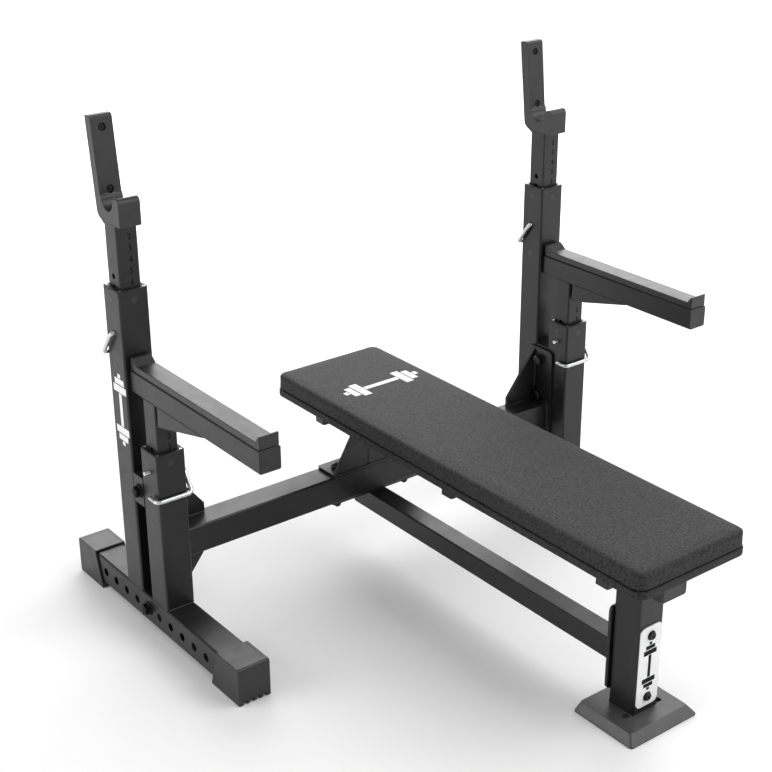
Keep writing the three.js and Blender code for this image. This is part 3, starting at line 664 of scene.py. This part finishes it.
def make_saddle_bolts():
    """Round-headed bolts through the saddle plate, with domed nuts below the clamp plate."""
    up, down = (0, 0, 1), (0, 0, -1)
    for side in SIDES:
        node = f"saddle_bolt_{side}"
        low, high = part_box(node)
        x, y = (low[0] + high[0]) / 2, (low[1] + high[1]) / 2
        top, seat = high[2] - CAP_HEIGHT, low[2] + NUT_HEIGHT
        cap = turned(f"saddle_cap_{side}", DOME_CAP, (x, y, top), up, "frame", "black_bolt")
        turned(f"saddle_flange_{side}", NUT_FLANGE, (x, y, seat), down, "frame", "black_bolt")
        turned(f"saddle_dome_{side}", NUT_DOME, (x, y, seat - 14 * MM), down, "frame", "black_bolt")
        add_hex_head(f"saddle_hex_{side}", (x, y, seat - 4 * MM), down, 20 * MM, 10 * MM, washer=0)
        length = (top - seat) / MM + 4
        shank = ((0, 0), (0, 8), (length, 8), (length, 0))
        turned(f"saddle_shank_{side}", shank, (x, y, seat - 2 * MM), up, "frame", "black_bolt", 50, 24)
        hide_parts(node)


PLUG = ((-1, 0), (-1, 7), (0.1, 7), (0.3, 6.5), (0.38, 4.2), (0.4, 0))
BUSH_SCREW = ((-1, 0), (-1, 3.2), (0.2, 3.2), (0.6, 2.6), (0.6, 1.4), (-0.4, 1.2), (-0.4, 0))


def plug(name, origin, axis):
    """Small domed plug pressed into a frame tube."""
    turned(name, PLUG, origin, axis, "frame", "nylon", 60, 28)


PLUG_HEIGHTS = {"back_post": (781 * MM, 629 * MM), "front_post": (443 * MM, 292 * MM)}


def make_plugs(side):
    """Plugs on the front and the -X face of each post, which hold its glide bush."""
    for post, heights in PLUG_HEIGHTS.items():
        low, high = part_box(f"{post}_{side}")
        centre = (Vector(low) + Vector(high)) / 2
        plug(f"plug_front_{post}_{side}", (centre.x, low[1], heights[0]), (0, -1, 0))
        for i, z in enumerate(heights):
            plug(f"plug_side_{post}_{side}_{i}", (low[0], centre.y, z), (-1, 0, 0))


def make_bush_screws(side):
    """Screws in the corners of each bush flange."""
    inset = 6.5 * MM
    for bush in ("hook_bush", "arm_bush"):
        low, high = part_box(f"{bush}_{side}")
        ends_x = (low[0] + inset, high[0] - inset)
        ends_y = (low[1] + inset, high[1] - inset)
        corners = [(x, y) for x in ends_x for y in ends_y]
        for i, (x, y) in enumerate(corners):
            name = f"{bush}_screw_{side}_{i}"
            turned(name, BUSH_SCREW, (x, y, high[2]), (0, 0, 1), "frame", "chrome", 40, 20)


def square_round(centre, half, axis):
    """Corners of a closed square across axis 0, 1 or 2, as round a tube's end."""
    first, second = [i for i in range(3) if i != axis]
    corners = []
    for a, b in ((-1, -1), (1, -1), (1, 1), (-1, 1), (-1, -1)):
        corner = Vector(centre)
        corner[first] += a * half
        corner[second] += b * half
        corners.append(corner)
    return corners


WELD_STOP = 4 * MM  # from a tube's corner to the end of a straight bead
SADDLE_PLATE = 6 * MM  # thickness of the plate under the head post
END_PLATE = 7 * MM  # from the lower beam's foot end to where its tube starts


def make_welds():
    """Weld beads where tubes and plates meet."""
    beam_low, beam_high = (Vector(corner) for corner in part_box("crossbeam"))
    beam = (beam_low + beam_high) / 2
    for side, sign in SIDES.items():
        x = sign * UPRIGHT_X
        half = TUBE_HALF - WELD_STOP
        for post in ("back_post", "front_post"):
            low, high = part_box(f"{post}_{side}")
            for end, y in (("front", low[1]), ("back", high[1])):
                corners = ((x - half, y, low[2]), (x + half, y, low[2]))
                weld_bead(f"weld_{post}_{end}_{side}", corners, "frame")
        end_x = sign * beam_high.x
        weld_bead(f"weld_beam_{side}", square_round((end_x, beam.y, beam.z), TUBE_HALF, 0), "frame")
        make_gusset_welds(side, sign)
        arm_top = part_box(f"spotter_arm_{side}")[1][2]
        slider_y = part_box(f"front_post_{side}")[0][1] + TUBE_HALF
        half = SLIDE_HALF - WELD_STOP
        z = arm_top - 2 * SLIDE_HALF
        for end, y in (("front", slider_y - SLIDE_HALF), ("back", slider_y + SLIDE_HALF)):
            weld_bead(f"weld_arm_{end}_{side}", ((x - half, y, z), (x + half, y, z)), f"arm_{side}")
    make_bench_welds(beam)


GUSSET_Y = 376 * MM  # middle of the bracket's gussets
GUSSET_HALF = 4 * MM
GUSSET_CORNER = 14 * MM  # from the gusset's end to the end of its weld


def make_gusset_welds(side, sign):
    """Beads along both faces of the bracket's two gussets."""
    low, high = (Vector(corner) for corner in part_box(f"crossbeam_bracket_{side}"))
    beam_low, beam_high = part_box("crossbeam")
    flange_x = sign * beam_high[0]
    tip_x = sign * min(abs(low.x), abs(high.x))
    top, bottom = high.z - GUSSET_CORNER, low.z + GUSSET_CORNER
    for face, y in (("front", GUSSET_Y - GUSSET_HALF), ("back", GUSSET_Y + GUSSET_HALF)):
        upper = ((tip_x, y, beam_high[2]), (flange_x, y, beam_high[2]), (flange_x, y, top))
        lower = ((tip_x, y, beam_low[2]), (flange_x, y, beam_low[2]), (flange_x, y, bottom))
        weld_bead(f"weld_gusset_upper_{face}_{side}", upper, "frame")
        weld_bead(f"weld_gusset_lower_{face}_{side}", lower, "frame")


def make_bench_welds(beam):
    """Beads round the bench's two posts and the foot end of the lower beam."""
    spine_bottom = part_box("bench_spine")[0][2]
    post_low, post_high = (Vector(corner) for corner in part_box("foot_post"))
    post_y = (post_low.y + post_high.y) / 2
    weld_bead("weld_foot_post_top", square_round((0, post_y, spine_bottom), TUBE_HALF, 2), "frame")
    weld_bead("weld_head_post_top", square_round((0, beam.y, spine_bottom), TUBE_HALF, 2), "frame")
    plate_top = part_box("head_post")[0][2] + SADDLE_PLATE
    weld_bead("weld_head_post_foot", square_round((0, beam.y, plate_top), TUBE_HALF, 2), "frame")
    tube_end_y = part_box("lower_beam")[0][1] + END_PLATE
    around = square_round((0, tube_end_y, LOWER_BEAM_Z), SLIDE_HALF, 1)
    weld_bead("weld_lower_beam", around, "frame")


def number(name, text, place, body):
    """A stamped number on a face that looks along -Y."""
    curve = bpy.data.curves.new(name, "FONT")
    curve.body = text
    curve.size = 18 * MM
    curve.offset = 0.4 * MM
    curve.extrude = PRINT
    curve.align_x = "CENTER"
    curve.align_y = "CENTER"
    curve.resolution_u = 4
    obj = bpy.data.objects.new(name, curve)
    obj.matrix_world = Matrix.Translation(place) @ Matrix.Rotation(math.pi / 2, 4, "X")
    add_piece(obj, body, "powder_coat", DARK_INK_AND_GROOVE_SHADE)


def make_scales(side, sign):
    """Height numbers on the front face of both sliding tubes."""
    for slider, post, top, last in (("hook", "back_post", 942, 13), ("arm", "front_post", 527, 7)):
        face_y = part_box(f"{post}_{side}")[0][1] + TUBE_HALF - SLIDE_HALF
        for value in range(2, last + 1):
            z = top * MM - (value - 1) * STEP
            place = (sign * UPRIGHT_X + 5 * MM, face_y - PRINT / 2, z)
            number(f"{slider}_number_{side}_{value:02d}", str(value), place, f"{slider}_{side}")


# ---------- printed marks and painted groove shade ---
def barbell_mark(name, matrix, length, material):
    """A plain barbell pictogram, drawn along local x and pushed out along local z."""
    bm = bmesh.new()
    weights = ((0.29, 0.05, 0.16), (0.395, 0.04, 0.115), (0.4725, 0.0275, 0.035))
    both_ends = [(sign * x, wide, tall) for x, wide, tall in weights for sign in (-1, 1)]
    for centre, half_x, half_y in [(0.0, 0.23, 0.035), *both_ends]:
        scale = Matrix.Diagonal((2 * half_x * length, 2 * half_y * length, PRINT, 1))
        place = Matrix.Translation((centre * length, 0, 0))
        bmesh.ops.create_cube(bm, size=1, matrix=matrix @ place @ scale)
    mark = bevel(from_bmesh(name, bm), 0.05 * MM, 1)
    add_piece(mark, "frame", "white_paint", material)


def make_marks():
    """Generic pictograms on the pad, the left upright and the name plate."""
    pad_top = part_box("pad_cushion")[1][2]
    on_pad = Matrix.Translation((12 * MM, 325 * MM, pad_top + 0.5 * MM))
    barbell_mark("mark_pad", on_pad, 215 * MM, WHITE_INK)
    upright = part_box("back_post_left")
    face = Matrix(((0, 0, -1, 0), (0, 1, 0, 0), (1, 0, 0, 0), (0, 0, 0, 1)))
    place = Matrix.Translation((upright[0][0] - PRINT / 2, 405 * MM, 526 * MM))
    barbell_mark("mark_upright", place @ face, 170 * MM, WHITE_INK)
    low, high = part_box("name_plate")
    front = Matrix(((0, 1, 0, 0), (0, 0, -1, 0), (1, 0, 0, 0), (0, 0, 0, 1)))
    place = Matrix.Translation((0, low[1] - PRINT / 2, (low[2] + high[2]) / 2))
    barbell_mark("mark_name_plate", place @ front, 116 * MM, DARK_INK_AND_GROOVE_SHADE)


def make_cap_lines():
    """Dark strips near the edges of the foot caps: painted shade standing for the shade in their moulded grooves.
    """
    line = 1 * MM
    for side in SIDES:
        for end in ("front", "back"):
            low, high = (Vector(corner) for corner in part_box(f"foot_cap_{end}_{side}"))
            bm = bmesh.new()
            start, stop = low.y + 12 * MM, high.y - 12 * MM
            edge_x = high.x - 7 * MM
            if end == "front":
                strips = [((edge_x, start + 36 * MM, high.z), (line, 62 * MM, PRINT))]
            else:
                strips = [
                    ((edge_x, stop - 36 * MM, high.z), (line, 72 * MM, PRINT)),
                    (((low.x + high.x) / 2, stop, high.z), (65 * MM, line, PRINT)),
                    ((low.x, stop, 47 * MM), (PRINT, line, 62 * MM)),
                ]
            for centre, size in strips:
                matrix = Matrix.Translation(centre) @ Matrix.Diagonal((*size, 1))
                bmesh.ops.create_cube(bm, size=1, matrix=matrix)
            # the strips carry painted shade, in the dark ink, where the caps have grooves
            add_piece(from_bmesh(f"cap_groove_shade_{end}_{side}", bm), "frame", "rubber", DARK_INK_AND_GROOVE_SHADE)


def make_spine_plugs():
    """Ribbed plastic inserts in both ends of the spine and at the head end of the lower beam."""
    spine_low, spine_high = (Vector(corner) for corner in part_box("bench_spine"))
    centre = (spine_low + spine_high) / 2
    ends = (
        ("spine_plug_foot", spine_low.y, -1, centre.z, 31, 21),
        ("spine_plug_head", spine_high.y, 1, centre.z, 31, 21),
        ("beam_plug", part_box("lower_beam")[1][1], 1, LOWER_BEAM_Z, 21, 21),
    )
    for name, y, out, z, half_x, half_z in ends:
        bm = bmesh.new()
        for depth, size in ((-2, 1.0), (-1, 1.0), (-3, 0.84)):
            scale = Matrix.Diagonal((2 * half_x * size * MM, 4 * MM, 2 * half_z * size * MM, 1))
            place = Matrix.Translation((0, y + out * depth * MM, z))
            bmesh.ops.create_cube(bm, size=1, matrix=place @ scale)
        smooth(bevel(add_piece(from_bmesh(name, bm), "frame", "nylon"), 1.2 * MM))


# ---------- stage ----------
def make_stage():
    """A floor far wider than the view, whose own light grows with distance and hides the horizon."""
    mesh = bpy.data.meshes.new("floor")
    size = 160
    corners = [(-size, -size, 0), (size, -size, 0), (size, size, 0), (-size, size, 0)]
    mesh.from_pydata(corners, [], [(0, 1, 2, 3)])
    floor = bpy.data.objects.new("floor", mesh)
    floor.location.z = -0.3 * MM
    bpy.context.scene.collection.objects.link(floor)
    s = Shader("floor_paint", Roughness=0.6, Specular_IOR_Level=0.25)
    s.link(s.mix(s.span(s.noise(0.8), 0, 1), grey(0.86), grey(0.88)), s.bsdf.inputs["Base Color"])
    s.bsdf.inputs["Emission Color"].default_value = (1, 1, 1, 1)
    away = s.node("ShaderNodeVectorMath", operation="LENGTH")
    s.link(s.place, away.inputs[0])
    s.link(s.span(away.outputs["Value"], 0.04, 0.65, 1.6, 5.5), s.bsdf.inputs["Emission Strength"])
    mesh.materials.append(s.material)


def area_light(name, place, target, size, power):
    data = bpy.data.lights.new(name, "AREA")
    data.shape = "RECTANGLE"
    data.size, data.size_y = size
    data.energy = power
    light = bpy.data.objects.new(name, data)
    light.location = place
    light.rotation_euler = (Vector(target) - Vector(place)).to_track_quat("-Z", "Y").to_euler()
    light.visible_camera = False
    bpy.context.scene.collection.objects.link(light)


def soft_sun(power, tilt):
    """Broad, even light from above that falls off nowhere on the floor."""
    data = bpy.data.lights.new("soft_sun", "SUN")
    data.energy = power
    data.angle = math.radians(80)
    light = bpy.data.objects.new("soft_sun", data)
    light.rotation_euler = [math.radians(v) for v in tilt]
    bpy.context.scene.collection.objects.link(light)


WORLD_LIGHT = 0.32


def make_light():
    """An even world that looks white behind the floor, a soft sun and three soft boxes."""
    world = bpy.data.worlds.new("studio")
    bpy.context.scene.world = world
    world.use_nodes = True
    tree = world.node_tree
    backdrop = tree.nodes["Background"]
    backdrop.inputs["Color"].default_value = (1, 1, 1, 1)
    seen = tree.nodes.new("ShaderNodeMapRange")
    seen.inputs["To Min"].default_value = WORLD_LIGHT
    seen.inputs["To Max"].default_value = 1.0
    ray = tree.nodes.new("ShaderNodeLightPath")
    tree.links.new(ray.outputs["Is Camera Ray"], seen.inputs["Value"])
    tree.links.new(seen.outputs["Result"], backdrop.inputs["Strength"])
    soft_sun(0.45, (12, -14, 0))
    area_light("backdrop_box", (2.8, 3.7, 2.65), (0, 0.1, 0.5), (7.0, 3.4), 270)
    area_light("left_box", (-4.2, 1.4, 1.9), (0, 0.2, 0.5), (2.6, 2.6), 80)
    area_light("front_box", (2.1, -2.3, 3.2), (0, 0, 0.1), (3.6, 3.6), 125)


CAMERA_PLACE = (-1.9917, -2.3116, 1.9026)
CAMERA_ANGLES = (-37.43, 23.92, -0.34)  # azimuth, elevation and roll in degrees
FOCAL_RATIO = 1.96464  # focal length over the width of the sensor


def make_camera():
    """A camera above the foot end, on the left, that looks down along the pad."""
    data = bpy.data.cameras.new("camera")
    data.lens = FOCAL_RATIO * data.sensor_width
    camera = bpy.data.objects.new("camera", data)
    azimuth, elevation, roll = (math.radians(v) for v in CAMERA_ANGLES)
    level = Vector((math.sin(azimuth), -math.cos(azimuth), 0))
    back = level * math.cos(elevation) + Vector((0, 0, math.sin(elevation)))
    right = Vector((math.cos(azimuth), math.sin(azimuth), 0))
    up = back.cross(right)
    turn = Matrix((right, up, back)).transposed().to_4x4()
    place = Matrix.Translation(CAMERA_PLACE)
    camera.matrix_world = place @ turn @ Matrix.Rotation(roll, 4, "Z")
    bpy.context.scene.collection.objects.link(camera)
    bpy.context.scene.camera = camera


def build():
    make_camera()
    make_light()
    make_stage()
    dress_cad_nodes()
    make_cushion()
    make_board()
    for side, sign in SIDES.items():
        make_locking_pin("hook_pin", side)
        make_locking_pin("arm_pin", side)
        make_bolt_heads(side, sign)
        make_plugs(side)
        make_bush_screws(side)
        make_scales(side, sign)
    make_saddle_bolts()
    make_welds()
    make_marks()
    make_cap_lines()
    make_spine_plugs()


build()
bpy.context.scene.view_settings.view_transform = "Standard"
